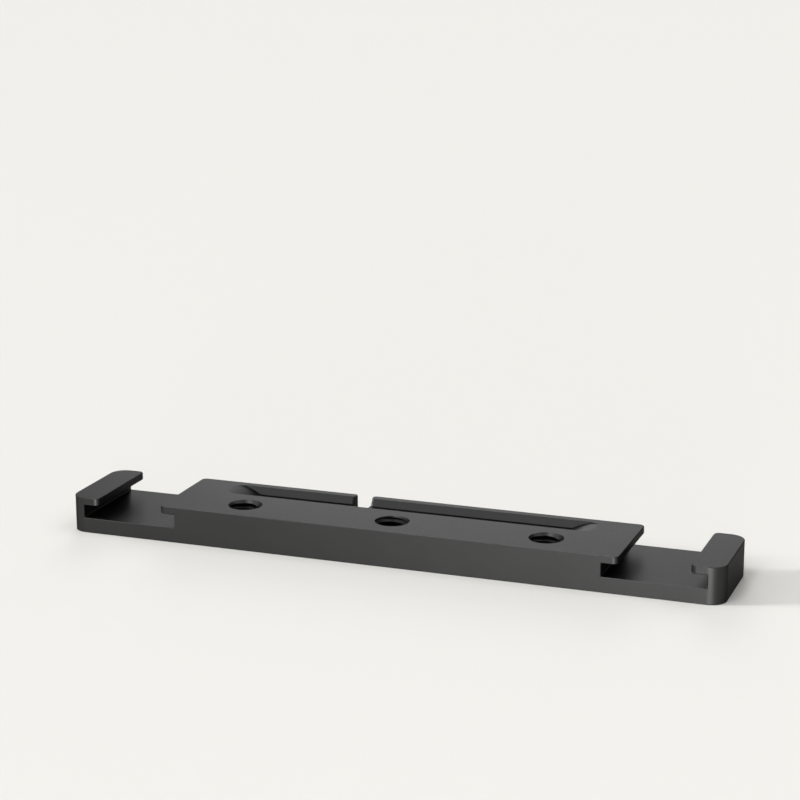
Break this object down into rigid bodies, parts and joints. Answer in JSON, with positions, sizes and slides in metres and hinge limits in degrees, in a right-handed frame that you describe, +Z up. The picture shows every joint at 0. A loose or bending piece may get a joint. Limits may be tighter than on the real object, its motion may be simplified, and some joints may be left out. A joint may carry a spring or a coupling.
{
  "type": "cold shoe mount bar",
  "caption": "Flat aluminium bar with an accessory cold shoe at each end, tapped camera-screw holes along its raised middle, and a long notched recess behind them.",
  "frame": {"origin": "middle of the bar's box, on its flat underside", "axes": "+X along the bar from one cold shoe to the other, +Y from the front face to the back face (the notched side), +Z up out of the shoes' mouths"},
  "size_m": [0.1244, 0.0194, 0.0068],
  "materials": {
    "black_anodised_aluminium": "fine bead-blasted and black anodised, satin"
  },
  "bodies": {
    "root": {"shoe_bar": "black_anodised_aluminium"}
  },
  "joints": []
}
